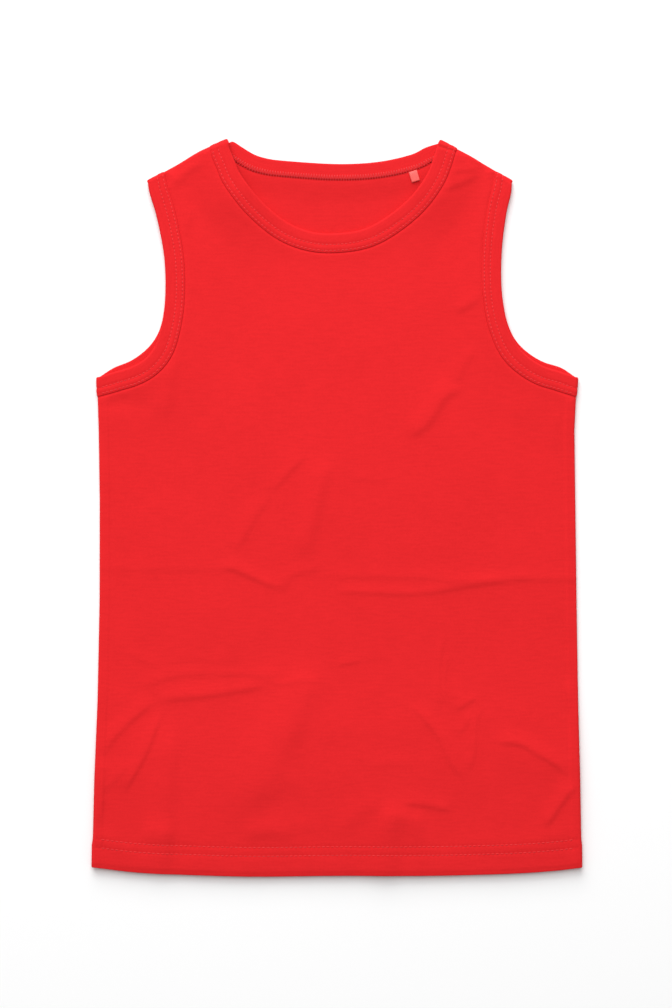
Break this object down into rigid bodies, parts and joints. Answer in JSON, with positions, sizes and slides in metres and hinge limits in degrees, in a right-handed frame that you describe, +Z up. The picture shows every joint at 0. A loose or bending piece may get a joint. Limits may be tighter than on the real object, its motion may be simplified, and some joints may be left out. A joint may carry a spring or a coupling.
{
  "type": "tank top",
  "caption": "Child's sleeveless jersey top laid flat, with bound round neck and armholes and a turned-up hem.",
  "frame": {"origin": "middle of the footprint, on the surface that the top lies on", "axes": "+Z up from the surface through the back and the front, +Y towards the neck, +X to the right as seen from above"},
  "size_m": [0.3428, 0.5156, 0.008],
  "materials": {
    "red_jersey": "matt cotton single jersey, fine knit",
    "red_binding": "matt cotton jersey, folded binding with twin-needle stitching",
    "coral_tape": "satin woven tape, bare"
  },
  "bodies": {
    "root": {"front_panel": "red_jersey", "back_panel": "red_jersey", "neck_binding": "red_binding", "armhole_binding_left": "red_binding", "armhole_binding_right": "red_binding", "loop_label": "coral_tape"}
  },
  "joints": []
}
